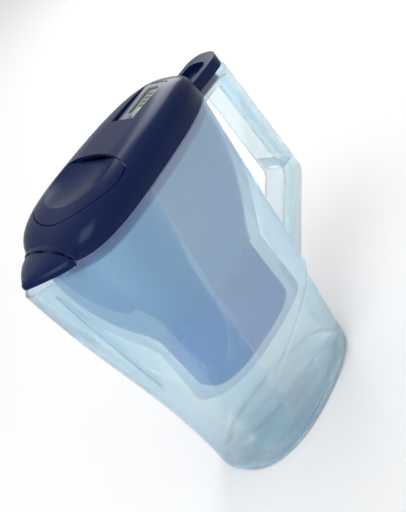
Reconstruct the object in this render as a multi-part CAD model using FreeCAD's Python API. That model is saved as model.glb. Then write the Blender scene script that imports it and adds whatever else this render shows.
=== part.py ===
"""Water filter jug: clear jug with a handle, lift-out funnel, filter cartridge, and a lid with two flaps and a timer.

Millimetres. The origin is the middle of the base, +Z is up, the spout points to -X and the handle to +X.
"""

import FreeCAD
import Part

import math
import os

from FreeCAD import Vector

# Jug: its plan at the base and at the rim, as distances from the middle of the base.
jug_height = 246.0
base_front = 78.0
base_rear = 77.5
base_half_width = 48.0
base_squareness = 2.4
base_taper = 0.15
rim_front = 77.0
rim_rear = 105.0
rim_half_width = 49.5
rim_squareness = 3.1
rim_taper = 0.21
jug_wall = 2.5
jug_floor = 3.5

# Spout: the jug's front grows into a pointed prow from this height up.
prow_reach = 31.5
prow_half_width = 36.0
prow_start = 21.0

# Style step: above a sloping line the rear of the jug stands proud of the lower body.
step_height = 64.0
step_slope = 0.16
step_proud = 4.0
step_fade_front = 36.0
step_band = 5.5

# Handle: an open C section, joined to the jug by a trough at the top and a strut below.
finger_gap = 22.0
grip_depth = 16.0
handle_half_width = 13.0
handle_wall = 2.6
trough_depth = 8.0
strut_foot = 76.0
strut_root_depth = 29.0
strut_bend = 128.0
strut_bend_rise = 10.0
handle_outer_radius = 12.0
handle_inner_radius = 10.0

# Funnel: hangs on the jug's rim, follows the jug's wall, then draws in to the cartridge well.
side_gap = 0.4
seat_gap = 0.2
funnel_wall = 1.8
funnel_bulge = 8.0
flange_thickness = 1.8
flange_setback = 0.5
hopper_turn = 225.0
hopper_floor = 137.0
hopper_close = 0.93
well_bottom = 73.0
well_centre = 5.0
well_half_length = 56.0
well_half_width = 31.5
well_squareness = 2.6
well_draft = 1.5
outlet_length = 44.0
outlet_width = 14.0

# Cartridge: an oval cup of filter granules between two screens, with a domed cap, a pull loop and a seal.
cartridge_gap = 1.2
cartridge_height = 53.0
cartridge_wall = 1.6
cartridge_floor = 2.0
screen_thickness = 0.8
screen_gap = 0.2
screen_depth = 5.0
drain_radius = 2.5
drain_count = 7
drain_pitch = 11.0
cap_height = 12.0
cap_draw = 15.0
cap_slot_length = 22.0
cap_slot_width = 4.0
loop_length = 36.0
loop_height = 20.0
loop_bar = 5.0
seal_height = 5.0
seal_drop = 3.0
seal_gap = 0.3

# Lid: a boxy dome, softer at the front than at the rear, with a skirt inside the funnel's mouth.
lid_overhang = 1.0
lid_rise = 28.5
lid_wall = 2.4
lid_centre = 16.0
dome_fullness = 3.5
dome_lean = 0.9
skirt_depth = 6.5
skirt_wall = 1.4
skirt_gap = 1.3
skirt_web = 2.0
arch_setback = 4.5
bulkhead_recess = 1.0
bulkhead_wall = 2.2

# Neck: bridges from the dome to a cap over the handle, with a thumb well and a tongue in the handle's trough.
neck_half_width = 16.5
neck_overhang = 2.5
neck_height = 7.8
neck_radius = 14.0
neck_lip_gap = 0.3
neck_overlap = 15.0
thumb_half_width = 11.0
thumb_length = 24.0
thumb_depth = 4.6
thumb_radius = 8.0
tongue_length = 23.0
tongue_gap = 0.5
tongue_wall = 2.0

# Refill flap: a scooped flap in the dome, turning on two stub pins near its rear corners.
flap_centre = -15.0
flap_half_length = 43.0
flap_half_width = 46.0
flap_corner = 13.0
flap_rear_bow = 10.0
flap_gap = 0.9
scoop_depth = 8.0
scoop_radius = 104.0
flap_axis_drop = 12.5
pin_radius = 1.55
pin_clearance = 0.05
pin_engage = 3.0
flap_lug = 3.0
flap_lug_radius = 2.8
boss_half = 2.8
spring_length = 2.8
spring_wire = 0.6
spring_play = 0.45

# Spout flap: a pointed hood over the spout, turning on two stub pins behind its top edge.
arch_gap = 4.0
beak_length = 29.5
beak_half_width = 33.0
beak_height = 12.9
beak_tip_height = 4.0
beak_tip_lift = 4.4
beak_wall = 2.0
beak_pointedness = 1.5
beak_arch = 2.3
beak_axis_back = 0.5
beak_axis_drop = 6.0
beak_pin_radius = 1.25
beak_lug = 3.0
beak_lug_place = 10.5
beak_lug_radius = 1.9
ear_arm_half = 1.1

# Timer: an electronic indicator in a tub behind the refill flap.
timer_centre = 70.0
timer_length = 46.0
timer_width = 28.0
timer_gap = 0.3
timer_depth = 12.6
timer_sink = 3.6
tub_wall = 1.6
housing_wall = 1.4
housing_floor = 1.2
bezel_thickness = 1.6
gasket_thickness = 0.6
lcd_offset = 3.5
lcd_length = 33.0
lcd_width = 18.0
lcd_thickness = 2.2
window_margin = 0.7
window_thickness = 0.8
view_length = 30.0
view_width = 15.0
button_offset = 17.0
button_radius = 3.2
button_flange = 0.5
button_proud = 0.5
button_play = 0.15
button_height = 4.0
button_flange_height = 0.7
board_thickness = 1.2
board_margin = 0.4
cell_radius = 10.0
cell_thickness = 3.2
contact_thickness = 0.4
contact_width = 6.0
contact_length = 24.0
post_size = 3.0
dome_radius = 2.5
dome_height = 0.5
slip = 0.1

outline_points = 48
arch_points = 15

# Levels and stations of the smooth forms, as shares of the height or length that they lie along.
foot_level = 0.45
step_clear = 1.5
step_clear_slope = 0.95
upper_levels = ((0.25, 0.6), (0.5, 0.3), (0.75, 0.0))
hopper_levels = (0.0, 0.25, 0.45, 0.65, 0.83, 1.0)
cap_waist = 0.6
cap_waist_draw = 0.35
dome_levels = (0.0, 0.35, 0.6, 0.78, 0.9, 0.96, 0.99)
beak_stations = (0.0, 0.25, 0.5, 0.75, 0.9, 0.97)
beak_hollow_stations = (-0.05, 0.0, 0.25, 0.5, 0.7, 0.8)


def mix(low, high, share):
    return low + (high - low) * share


def clamp(share):
    return min(max(share, 0.0), 1.0)


def prow_growth(z):
    """Share of the spout's full reach at a height: a gentle S curve up to the rim."""
    share = clamp((z - prow_start) / (jug_height - prow_start))
    return (share + math.sin(share * math.pi / 2) ** 2) / 2


def unit_oval(angle, squareness):
    """A point of the unit superellipse in the direction of an angle."""
    c = math.cos(angle)
    s = math.sin(angle)
    radius = (abs(c) ** squareness + abs(s) ** squareness) ** (-1.0 / squareness)
    return radius * c, radius * s


def body_point(angle, z, reach, proud):
    """A point of the jug's outside at a height, with a spout of some reach and a proud rear."""
    share = z / jug_height
    front = mix(base_front, rim_front, share)
    rear = mix(base_rear, rim_rear, share)
    along, across = unit_oval(angle, mix(base_squareness, rim_squareness, share))
    x = (rear - front) / 2 + (rear + front) / 2 * along
    taper = mix(base_taper, rim_taper, share)
    y = mix(base_half_width, rim_half_width, share) * across * (1 - taper * along)
    rise = proud * clamp((x + step_fade_front) / (rear + step_fade_front))
    y += rise * across / 2
    if along < 0 and abs(y) < prow_half_width:
        x -= reach * prow_growth(z) * (1 - (y / prow_half_width) ** 2) ** 2
    return Vector(x + rise * along, y, z)


def inset_ring(ring, inset):
    """The ring moved inwards, square to itself, by a distance."""
    moved = []
    for i, point in enumerate(ring):
        tangent = ring[(i + 1) % len(ring)] - ring[i - 1]
        outward = Vector(tangent.y, -tangent.x, 0).normalize()
        moved.append(point - outward * inset)
    return moved


def body_ring(height, slope=0.0, reach=0.0, proud=step_proud, inset=0.0):
    """The jug's outline in a plane at a height, sloping along X, moved inwards by a distance."""
    ring = []
    for i in range(outline_points):
        angle = 2 * math.pi * i / outline_points
        point = body_point(angle, height, reach, proud)
        point = body_point(angle, height + slope * point.x, reach, proud)
        ring.append(point)
    return inset_ring(ring, inset)


def oval_ring(z, half_length, half_width):
    """An oval outline about the cartridge's middle."""
    ring = []
    for i in range(outline_points):
        along, across = unit_oval(2 * math.pi * i / outline_points, well_squareness)
        ring.append(Vector(well_centre + half_length * along, half_width * across, z))
    return ring


def closed_spline(points):
    curve = Part.BSplineCurve()
    curve.interpolate(Points=points, PeriodicFlag=True)
    return Part.Wire(curve.toShape())


def loft(rings, straight=False):
    """A solid through a stack of outlines, with smooth sides or with straight sides between them."""
    return Part.makeLoft([closed_spline(ring) for ring in rings], True, straight)


def at_height(ring, z):
    return [Vector(p.x, p.y, z) for p in ring]


def prism(ring, low, high):
    """A solid with straight sides over an outline."""
    return Part.Face(closed_spline(at_height(ring, low))).extrude(Vector(0, 0, high - low))


def block(x0, x1, y0, y1, z0, z1):
    return Part.makeBox(x1 - x0, y1 - y0, z1 - z0, Vector(x0, y0, z0))


def bar_y(x, z, radius, y0, y1):
    """A round bar along Y."""
    return Part.makeCylinder(radius, y1 - y0, Vector(x, y0, z), Vector(0, 1, 0))


def rounded_wire(corners, place):
    """A closed outline of straight sides with each corner rounded; corners are (u, v, radius)."""
    count = len(corners)
    runs = []
    for i, (u, v, radius) in enumerate(corners):
        here = Vector(u, v, 0)
        back = (Vector(*corners[i - 1][:2], 0) - here).normalize()
        ahead = (Vector(*corners[(i + 1) % count][:2], 0) - here).normalize()
        half = back.getAngle(ahead) / 2
        reach = radius / math.tan(half)
        middle = here + (back + ahead).normalize() * (radius / math.sin(half) - radius)
        runs.append((here + back * reach, middle, here + ahead * reach))
    edges = []
    for i, (start, middle, end) in enumerate(runs):
        if corners[i][2] > 0:
            edges.append(Part.Arc(place(start), place(middle), place(end)).toShape())
        following = runs[(i + 1) % count][0]
        edges.append(Part.LineSegment(place(end), place(following)).toShape())
    return Part.Wire(edges)


def side_plate(corners, half_width):
    """A plate standing along X and Z, as thick as twice the half width."""
    wire = rounded_wire(corners, lambda p: Vector(p.x, -half_width, p.y))
    return Part.Face(wire).extrude(Vector(0, 2 * half_width, 0))


def plan_plate(corners, low, high):
    """A plate lying along X and Y."""
    wire = rounded_wire(corners, lambda p: Vector(p.x, p.y, low))
    return Part.Face(wire).extrude(Vector(0, 0, high - low))


def both_sides(make):
    """The same solid made for the near side and the far side."""
    return make(-1).fuse(make(1))


def span(sign, near, far):
    """The two Y ends, in order, of a stretch that lies on one side of the middle."""
    return sorted((sign * near, sign * far))


os.makedirs("parts", exist_ok=True)


def save(name, shape):
    shape.exportStep(f"parts/{name}.step")
    print(name, shape.isValid(), len(shape.Solids), round(shape.Volume))


# Jug with its spout and handle, one clear moulding.
jug_levels = [
    (step_height * foot_level, step_slope * foot_level, 0.0),
    (step_height - step_band * step_clear, step_slope * step_clear_slope, 0.0),
    (step_height - step_band / 2, step_slope, 0.0),
    (step_height + step_band / 2, step_slope, step_proud),
    (step_height + step_band * step_clear, step_slope * step_clear_slope, step_proud),
]
for share, slope_share in upper_levels:
    jug_levels.append((mix(step_height, jug_height, share), step_slope * slope_share, step_proud))


def jug_rings(low, high, low_proud, inset):
    rings = [body_ring(low, 0.0, prow_reach, low_proud, inset)]
    for height, slope, proud in jug_levels:
        rings.append(body_ring(height, slope, prow_reach, proud, inset))
    rings.append(body_ring(high, 0.0, prow_reach, step_proud, inset))
    return rings


def make_handle():
    grip_inner = rim_rear + step_proud + finger_gap
    grip_outer = grip_inner + grip_depth
    strut_root = mix(base_rear, rim_rear, strut_foot / jug_height) - jug_wall
    trough_root = rim_rear + step_proud - jug_wall * 2
    trough_low = jug_height - trough_depth - handle_wall
    slant = (strut_bend - strut_foot) / (grip_outer - strut_root)
    strut_top = strut_foot + strut_root_depth
    bend_top = strut_bend + strut_bend_rise
    body = side_plate(
        [
            (grip_outer, jug_height, 0),
            (grip_outer, strut_bend, handle_outer_radius),
            (strut_root, strut_foot, 0),
            (strut_root, strut_top, 0),
            (grip_inner, bend_top, handle_inner_radius),
            (grip_inner, trough_low, 0),
            (trough_root, trough_low, 0),
            (trough_root, jug_height, 0),
        ],
        handle_half_width,
    )
    floor_lift = handle_wall * math.hypot(1, slant)
    channel_end = grip_outer - handle_wall
    channel_bend = strut_bend + floor_lift - slant * handle_wall
    channel = side_plate(
        [
            (channel_end, trough_low, 0),
            (channel_end, channel_bend, handle_outer_radius - handle_wall),
            (strut_root, strut_foot + floor_lift, 0),
            (strut_root, strut_top + finger_gap, 0),
            (grip_inner - finger_gap / 2, bend_top + finger_gap, 0),
            (grip_inner - finger_gap / 2, trough_low, 0),
        ],
        handle_half_width - handle_wall,
    )
    half_trough = handle_half_width - handle_wall
    trough = block(
        trough_root, channel_end, -half_trough, half_trough, jug_height - trough_depth, jug_height + handle_wall
    )
    return body.cut(channel).cut(trough)


jug_outside = loft(jug_rings(0.0, jug_height, 0.0, 0.0), True)
jug_inside = loft(jug_rings(jug_floor, jug_height + jug_wall, 0.0, jug_wall), True)
save("jug", jug_outside.fuse(make_handle()).cut(jug_inside))

# Funnel with its rim flange and the cartridge well.
flange_low = jug_height + seat_gap
flange_top = flange_low + flange_thickness


def well_ring(z, inset):
    share = (hopper_floor - z) / (hopper_floor - well_bottom)
    shrink = well_draft * share + inset
    return oval_ring(z, well_half_length - shrink, well_half_width - shrink)


def hopper_ring(z, inset):
    wall_ring = body_ring(z, 0.0, funnel_bulge, step_proud, jug_wall + side_gap + inset)
    drawn = hopper_close * clamp((hopper_turn - z) / (hopper_turn - hopper_floor)) ** 2
    return [a + (b - a) * drawn for a, b in zip(wall_ring, well_ring(z, inset))]


def hopper(inset, low, high):
    rings = [hopper_ring(high, inset)]
    for share in hopper_levels:
        rings.append(hopper_ring(mix(hopper_turn, low, share), inset))
    return loft(rings)


def well(inset, low, high):
    return loft([well_ring(low, inset), well_ring(high, inset)])


flange = prism(body_ring(jug_height, 0.0, funnel_bulge, step_proud, flange_setback), flange_low, flange_top)
funnel_outside = hopper(0.0, hopper_floor, flange_top).fuse(well(0.0, well_bottom, hopper_floor + funnel_wall))
funnel_inside = hopper(funnel_wall, hopper_floor + funnel_wall, flange_top + funnel_wall)
well_inside = well(funnel_wall, well_bottom + funnel_wall, hopper_floor + funnel_wall * 2)
outlet_corner = outlet_width / 2 - slip
outlet_half = outlet_length / 2
outlet = plan_plate(
    [
        (well_centre - outlet_half, -outlet_width / 2, outlet_corner),
        (well_centre + outlet_half, -outlet_width / 2, outlet_corner),
        (well_centre + outlet_half, outlet_width / 2, outlet_corner),
        (well_centre - outlet_half, outlet_width / 2, outlet_corner),
    ],
    well_bottom - funnel_wall,
    well_bottom + funnel_wall * 2,
)
save("funnel", funnel_outside.fuse(flange).cut(funnel_inside).cut(well_inside).cut(outlet))

# Filter cartridge, standing in the well.
cup_low = well_bottom + funnel_wall + seat_gap
cup_top = cup_low + cartridge_height
cup_inset = funnel_wall + cartridge_gap
cup_inner = cup_inset + cartridge_wall
cup_floor_top = cup_low + cartridge_floor

housing = well(cup_inset, cup_low, cup_top).cut(well(cup_inner, cup_floor_top, cup_top + cartridge_wall))
for i in range(drain_count):
    drain_x = well_centre + (i - (drain_count - 1) / 2) * drain_pitch
    drain = Part.makeCylinder(drain_radius, cartridge_floor * 3, Vector(drain_x, 0, cup_low - cartridge_floor))
    housing = housing.cut(drain)
save("cartridge_housing", housing)

bottom_screen_low = cup_floor_top + screen_gap
media_low = bottom_screen_low + screen_thickness + screen_gap
top_screen_low = cup_top - screen_depth
media_top = top_screen_low - screen_gap
screen_inset = cup_inner + screen_gap
save("bottom_screen", well(screen_inset, bottom_screen_low, bottom_screen_low + screen_thickness))
save("filter_media", well(screen_inset, media_low, media_top))
save("top_screen", well(screen_inset, top_screen_low, top_screen_low + screen_thickness))

cap_low = cup_top + seat_gap
cap_top = cap_low + cap_height


def cap_dome(inset, low, high):
    waist = mix(low, high, cap_waist)
    rings = [
        at_height(well_ring(cup_top, cup_inset + inset), low),
        at_height(well_ring(cup_top, cup_inset + cap_draw * cap_waist_draw + inset), waist),
        at_height(well_ring(cup_top, cup_inset + cap_draw + inset), high),
    ]
    return loft(rings)


def loop_corners(half_length, low, high, radius):
    return [
        (well_centre - half_length, low, 0),
        (well_centre + half_length, low, 0),
        (well_centre + half_length, high, radius),
        (well_centre - half_length, high, radius),
    ]


loop_low = cap_top - cartridge_wall / 2
loop_top = loop_low + loop_height
loop_outer = side_plate(loop_corners(loop_length / 2, loop_low, loop_top, loop_bar * 2), loop_bar / 2)
loop_hole = side_plate(
    loop_corners(loop_length / 2 - loop_bar, cap_top, loop_top - loop_bar, loop_bar), loop_bar
)
cap = cap_dome(0.0, cap_low, cap_top).cut(cap_dome(cartridge_wall, cap_low, cap_top - cartridge_wall))
cap = cap.fuse(loop_outer.cut(loop_hole))
slot_edge = loop_bar + cap_slot_width
for sign in (-1, 1):
    slot_y = span(sign, slot_edge, slot_edge + cap_slot_width)
    half_slot = cap_slot_length / 2
    cap = cap.cut(
        block(well_centre - half_slot, well_centre + half_slot, *slot_y, cap_low + seat_gap, cap_top + loop_bar)
    )
save("cartridge_cap", cap)

seal_top = cup_top - seal_drop
seal_low = seal_top - seal_height
seal_outside = well(funnel_wall + seal_gap, seal_low, seal_top)
save("cartridge_seal", seal_outside.cut(well(cup_inset, seal_low, seal_top)))

# Lid: dome, skirt, neck with cap, tongue, hinge bosses and the timer's tub.
lid_base = flange_top + seat_gap
lid_top = lid_base + lid_rise
lid_front = rim_front + lid_overhang
arch_x = arch_setback - lid_front
rim_end = rim_rear + step_proud


def dome_ring(height, inset):
    """The dome's outline at a share of its rise: a superellipse in profile, softer at the front."""
    ring = body_ring(jug_height, 0.0, 0.0, step_proud, inset - lid_overhang)
    drawn = []
    for i, point in enumerate(ring):
        fullness = dome_fullness + dome_lean * math.cos(2 * math.pi * i / outline_points)
        share = (1 - height**fullness) ** (1 / fullness)
        x = mix(lid_centre, point.x, share)
        drawn.append(Vector(x, point.y * share, lid_base + (lid_rise - inset) * height))
    return drawn


def dome(inset, foot):
    rings = [dome_ring(height, inset) for height in dome_levels]
    if foot > 0:
        rings.insert(0, at_height(rings[0], lid_base - foot))
    return loft(rings)


dome_outside = dome(0.0, 0.0)
dome_inside = dome(lid_wall, lid_wall)


def flap_wire(grow, z):
    """The refill flap's outline: most of an ellipse, closed by a shallow arc at the rear."""
    half_length = flap_half_length + grow
    half_width = flap_half_width + grow
    turn = math.acos(flap_corner / flap_half_length)
    front = []
    for i in range(outline_points + 1):
        angle = mix(turn, 2 * math.pi - turn, i / outline_points)
        front.append(Vector(flap_centre + half_length * math.cos(angle), half_width * math.sin(angle), z))
    curve = Part.BSplineCurve()
    curve.interpolate(front)
    rear_point = Vector(flap_centre + flap_corner + flap_rear_bow + grow, 0, z)
    rear = Part.Arc(front[-1], rear_point, front[0])
    return Part.Wire([curve.toShape(), rear.toShape()])


def flap_prism(grow):
    low = lid_base + slip
    return Part.Face(flap_wire(grow, low)).extrude(Vector(0, 0, lid_rise * 2))


flap_axis_x = flap_centre + flap_corner
flap_axis_z = lid_top - flap_axis_drop
corner_half = flap_half_width * math.sin(math.acos(flap_corner / flap_half_length))
lug_outer = corner_half - flap_lug
boss_inner = lug_outer + spring_length + spring_play * 2
pin_end = boss_inner + pin_engage

skirt_inset = lid_overhang + jug_wall + side_gap + funnel_wall + skirt_gap
skirt_low = lid_base - skirt_depth
lid_ring = body_ring(jug_height, 0.0, 0.0, step_proud, -lid_overhang)
skirt_outside = prism(inset_ring(lid_ring, skirt_inset), skirt_low, lid_base + skirt_web)
web = prism(inset_ring(lid_ring, lid_wall / 2), lid_base, lid_base + skirt_web)
skirt_inside = prism(
    inset_ring(lid_ring, skirt_inset + skirt_wall), skirt_low - skirt_web, lid_base + skirt_web * 2
)
skirt = skirt_outside.fuse(web).cut(skirt_inside)

bulkhead_front = arch_x + bulkhead_recess
bulkhead = dome_outside.common(
    block(bulkhead_front, bulkhead_front + bulkhead_wall, -lid_front, lid_front, lid_base, lid_top)
)

neck_end = rim_end + finger_gap + grip_depth + neck_overhang
neck_top = lid_base + neck_height
neck_low = jug_height + neck_lip_gap
neck_start = rim_end - neck_overlap


def neck_corners(start, inset):
    half = neck_half_width - inset
    end = neck_end - inset
    return [
        (start, -half, 0),
        (end, -half, neck_radius - inset),
        (end, half, neck_radius - inset),
        (start, half, 0),
    ]


lip_start = rim_end + lid_overhang + side_gap
thumb_low = neck_top - thumb_depth
thumb_start = rim_end + lid_overhang + lid_wall
thumb_end = thumb_start + thumb_length
neck = plan_plate(neck_corners(neck_start, 0.0), lid_base, neck_top).cut(dome_inside)
neck = neck.fuse(plan_plate(neck_corners(lip_start, 0.0), neck_low, lid_base + lid_wall))
neck = neck.cut(
    plan_plate(neck_corners(lip_start + lid_wall, lid_wall), neck_low - lid_wall, thumb_low - lid_wall)
)
neck = neck.cut(
    plan_plate(
        [
            (thumb_start, -thumb_half_width, thumb_radius),
            (thumb_end, -thumb_half_width, thumb_radius),
            (thumb_end, thumb_half_width, thumb_radius),
            (thumb_start, thumb_half_width, thumb_radius),
        ],
        thumb_low,
        lid_top,
    )
)

tongue_half = handle_half_width - handle_wall - tongue_gap
tongue_low = jug_height - trough_depth + neck_lip_gap
tongue_start = lip_start + lid_wall
tongue_end = tongue_start + tongue_length
tongue = block(tongue_start, tongue_end, -tongue_half, tongue_half, tongue_low, thumb_low)
tongue = tongue.cut(
    block(
        tongue_start + tongue_wall,
        tongue_end - tongue_wall,
        tongue_wall - tongue_half,
        tongue_half - tongue_wall,
        tongue_low - tongue_wall,
        thumb_low - tongue_wall,
    )
)


def hinge_boss(sign):
    y0, y1 = span(sign, boss_inner, rim_half_width + step_proud)
    wide = block(
        flap_axis_x - boss_half, flap_axis_x + boss_half, y0, y1, flap_axis_z - boss_half, flap_axis_z + boss_half
    )
    return wide.common(dome_outside)


def hinge_bore(sign):
    y0, y1 = span(sign, boss_inner - slip, pin_end + slip)
    return bar_y(flap_axis_x, flap_axis_z, pin_radius + pin_clearance, y0, y1)


beak_rear = arch_x - arch_gap
beak_low = lid_base - seat_gap * 3
beak_axis_x = beak_rear - beak_axis_back
beak_axis_z = beak_low + beak_height - beak_axis_drop
ear_inner = beak_lug_place + beak_lug + side_gap
ear_outer = ear_inner + beak_lug


def spout_ear(sign):
    y0, y1 = span(sign, ear_inner, ear_outer)
    arm = block(beak_axis_x, bulkhead_front, y0, y1, beak_axis_z - ear_arm_half, beak_axis_z + ear_arm_half)
    return arm.fuse(bar_y(beak_axis_x, beak_axis_z, beak_lug_radius, y0, y1))


def spout_bore(sign):
    y0, y1 = span(sign, ear_inner - slip, ear_outer + slip)
    return bar_y(beak_axis_x, beak_axis_z, beak_pin_radius + pin_clearance, y0, y1)


half_timer = timer_length / 2
half_timer_width = timer_width / 2
timer_top = lid_top - timer_sink
tub_top = timer_top - timer_depth - seat_gap
tub = block(
    timer_centre - half_timer - tub_wall,
    timer_centre + half_timer + tub_wall,
    -half_timer_width - tub_wall,
    half_timer_width + tub_wall,
    tub_top - tub_wall,
    lid_top,
).common(dome_outside)
tub_hole = block(
    timer_centre - half_timer,
    timer_centre + half_timer,
    -half_timer_width,
    half_timer_width,
    tub_top,
    lid_top + lid_wall,
)

lid = dome_outside.cut(dome_inside).fuse(skirt)
lid = lid.cut(block(-2 * lid_front, arch_x, -lid_front, lid_front, skirt_low - lid_wall, lid_top + lid_wall))
lid = lid.fuse(bulkhead).fuse(neck).fuse(tongue)
lid = lid.cut(flap_prism(flap_gap))
lid = lid.fuse(tub).cut(tub_hole)
lid = lid.fuse(both_sides(hinge_boss)).cut(both_sides(hinge_bore))
lid = lid.fuse(both_sides(spout_ear)).cut(both_sides(spout_bore))
save("lid_shell", lid)

# Refill flap with its lugs and stub pins.
scoop_centre = Vector(flap_centre, 0, lid_top - scoop_depth + scoop_radius)
flap_upper = dome_outside.cut(Part.makeSphere(scoop_radius, scoop_centre))
flap_under = dome_inside.cut(Part.makeSphere(scoop_radius + lid_wall, scoop_centre))
refill_flap = flap_upper.cut(flap_under).common(flap_prism(0.0))


def flap_lug_and_pin(sign):
    y0, y1 = span(sign, lug_outer - flap_lug, lug_outer)
    arm = block(
        flap_axis_x - flap_lug_radius, flap_axis_x + flap_lug_radius, y0, y1, flap_axis_z, lid_top
    ).common(dome_outside.common(flap_prism(0.0)))
    hub = bar_y(flap_axis_x, flap_axis_z, flap_lug_radius, y0, y1)
    pin = bar_y(flap_axis_x, flap_axis_z, pin_radius, *span(sign, lug_outer - flap_lug, pin_end))
    return arm.cut(Part.makeSphere(scoop_radius, scoop_centre)).fuse(hub).fuse(pin)


save("refill_flap", refill_flap.fuse(both_sides(flap_lug_and_pin)))

# Torsion spring on the near pin of the refill flap, its close-wound turns as one sleeve.
spring_inner = pin_radius + spring_play
spring_y = span(-1, lug_outer + spring_play, lug_outer + spring_play + spring_length)
spring = bar_y(flap_axis_x, flap_axis_z, spring_inner + spring_wire, *spring_y)
save("flap_spring", spring.cut(bar_y(flap_axis_x, flap_axis_z, spring_inner, *spring_y)))


# Spout flap: a pointed hood with lugs and stub pins.
def beak_section(share, inset):
    """The hood's arched section at a share of its length from the rear."""
    bounded = max(share, 0.0)
    half = beak_half_width * (1 - bounded**beak_pointedness) - inset
    low = beak_low + beak_tip_lift * bounded
    tip_top = beak_low + beak_tip_lift + beak_tip_height
    top = mix(beak_low + beak_height, tip_top, bounded) - inset
    foot = low - inset
    x = beak_rear - beak_length * share
    arch = []
    for i in range(arch_points):
        angle = math.pi * i / (arch_points - 1)
        c = math.cos(angle)
        s = max(math.sin(angle), 0.0)
        y = half * math.copysign(abs(c) ** (2 / beak_arch), c)
        arch.append(Vector(x, y, foot + (top - foot) * s ** (2 / beak_arch)))
    curve = Part.BSplineCurve()
    curve.interpolate(arch)
    base = Part.LineSegment(arch[-1], arch[0])
    return Part.Wire([curve.toShape(), base.toShape()])


def beak(shares, inset):
    return Part.makeLoft([beak_section(share, inset) for share in shares], True, False)


hood = beak(beak_stations, 0.0)
hood = hood.cut(beak(beak_hollow_stations, beak_wall))


def beak_lug_and_pin(sign):
    y0, y1 = span(sign, beak_lug_place, beak_lug_place + beak_lug)
    hub = bar_y(beak_axis_x, beak_axis_z, beak_lug_radius, y0, y1)
    arm = block(
        beak_axis_x - beak_lug_radius, beak_rear, y0, y1, beak_axis_z, beak_low + beak_height - beak_wall / 2
    ).common(beak(beak_stations[:3], 0.0))
    pin = bar_y(beak_axis_x, beak_axis_z, beak_pin_radius, *span(sign, beak_lug_place, ear_outer))
    return hub.fuse(arm).fuse(pin)


save("spout_flap", hood.fuse(both_sides(beak_lug_and_pin)))

# Filter timer: housing, gasket, bezel, window, display, board, coin cell, contacts and button.
frame_half = half_timer - timer_gap
frame_half_width = half_timer_width - timer_gap
bezel_low = timer_top - bezel_thickness
gasket_low = bezel_low - gasket_thickness
housing_low = timer_top - timer_depth
lcd_x = timer_centre + lcd_offset
lcd_top = bezel_low - window_thickness - 2 * slip
lcd_low = lcd_top - lcd_thickness
board_top = lcd_low - 2 * slip
board_low = board_top - board_thickness
floor_top = housing_low + housing_floor
button_x = timer_centre - button_offset


def timer_plate(centre_x, length, width, low, high):
    half = length / 2
    return block(centre_x - half, centre_x + half, -width / 2, width / 2, low, high)


def button_bar(radius, low, high):
    return Part.makeCylinder(radius, high - low, Vector(button_x, 0, low))


frame_length = 2 * frame_half
frame_width = 2 * frame_half_width
inner_length = frame_length - 2 * housing_wall
inner_width = frame_width - 2 * housing_wall
timer_housing = timer_plate(timer_centre, frame_length, frame_width, housing_low, gasket_low)
timer_housing = timer_housing.cut(timer_plate(timer_centre, inner_length, inner_width, floor_top, gasket_low))
for sign_x in (-1, 1):
    for sign_y in (-1, 1):
        post_x = timer_centre + sign_x * (inner_length - post_size) / 2
        post_y = sign_y * (inner_width - post_size) / 2
        half_post = post_size / 2
        timer_housing = timer_housing.fuse(
            block(
                post_x - half_post,
                post_x + half_post,
                post_y - half_post,
                post_y + half_post,
                housing_low,
                board_low - slip,
            )
        )
save("indicator_housing", timer_housing)

window_length = lcd_length + 2 * window_margin
window_width = lcd_width + 2 * window_margin
hole_margin = 2 * timer_gap
flange_radius = button_radius + button_flange
gasket = timer_plate(timer_centre, frame_length, frame_width, gasket_low, bezel_low)
gasket = gasket.cut(
    timer_plate(lcd_x, window_length + hole_margin, window_width + hole_margin, gasket_low, bezel_low)
)
save("indicator_gasket", gasket.cut(button_bar(flange_radius + slip, gasket_low, bezel_low)))

bezel = timer_plate(timer_centre, frame_length, frame_width, bezel_low, timer_top)
bezel = bezel.cut(timer_plate(lcd_x, view_length, view_width, bezel_low, timer_top))
save("indicator_bezel", bezel.cut(button_bar(button_radius + button_play, bezel_low, timer_top)))

window_low = bezel_low - window_thickness - slip
save("indicator_window", timer_plate(lcd_x, window_length, window_width, window_low, bezel_low - slip))
save("lcd_panel", timer_plate(lcd_x, lcd_length, lcd_width, lcd_low, lcd_top))

board_length = inner_length - 2 * board_margin
board_width = inner_width - 2 * board_margin
save("circuit_board", timer_plate(timer_centre, board_length, board_width, board_low, board_top))

cell_low = floor_top + contact_thickness + 2 * slip
cell_top = cell_low + cell_thickness
save("coin_cell", Part.makeCylinder(cell_radius, cell_thickness, Vector(timer_centre, 0, cell_low)))

lower_contact = timer_plate(
    timer_centre, contact_length, contact_width, floor_top + slip, floor_top + slip + contact_thickness
)
upper_contact = timer_plate(
    timer_centre, contact_length, contact_width, cell_top + slip, cell_top + slip + contact_thickness
)
leg_x = timer_centre + contact_length / 2
upper_leg = block(
    leg_x - contact_thickness, leg_x, -contact_width / 2, contact_width / 2, cell_top + slip, board_low - slip
)
contacts = Part.makeCompound([lower_contact, upper_contact.fuse(upper_leg)])
save("battery_contacts", contacts)

button_top = timer_top + button_proud
button_low = button_top - button_height
button = button_bar(button_radius, button_low, button_top)
button = button.fuse(button_bar(flange_radius, button_low, button_low + button_flange_height))
save("start_button", button)
save("button_dome", button_bar(dome_radius, board_top + slip, board_top + slip + dome_height))
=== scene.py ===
import math

import bmesh
import bpy
from mathutils import Matrix, Vector


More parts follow.
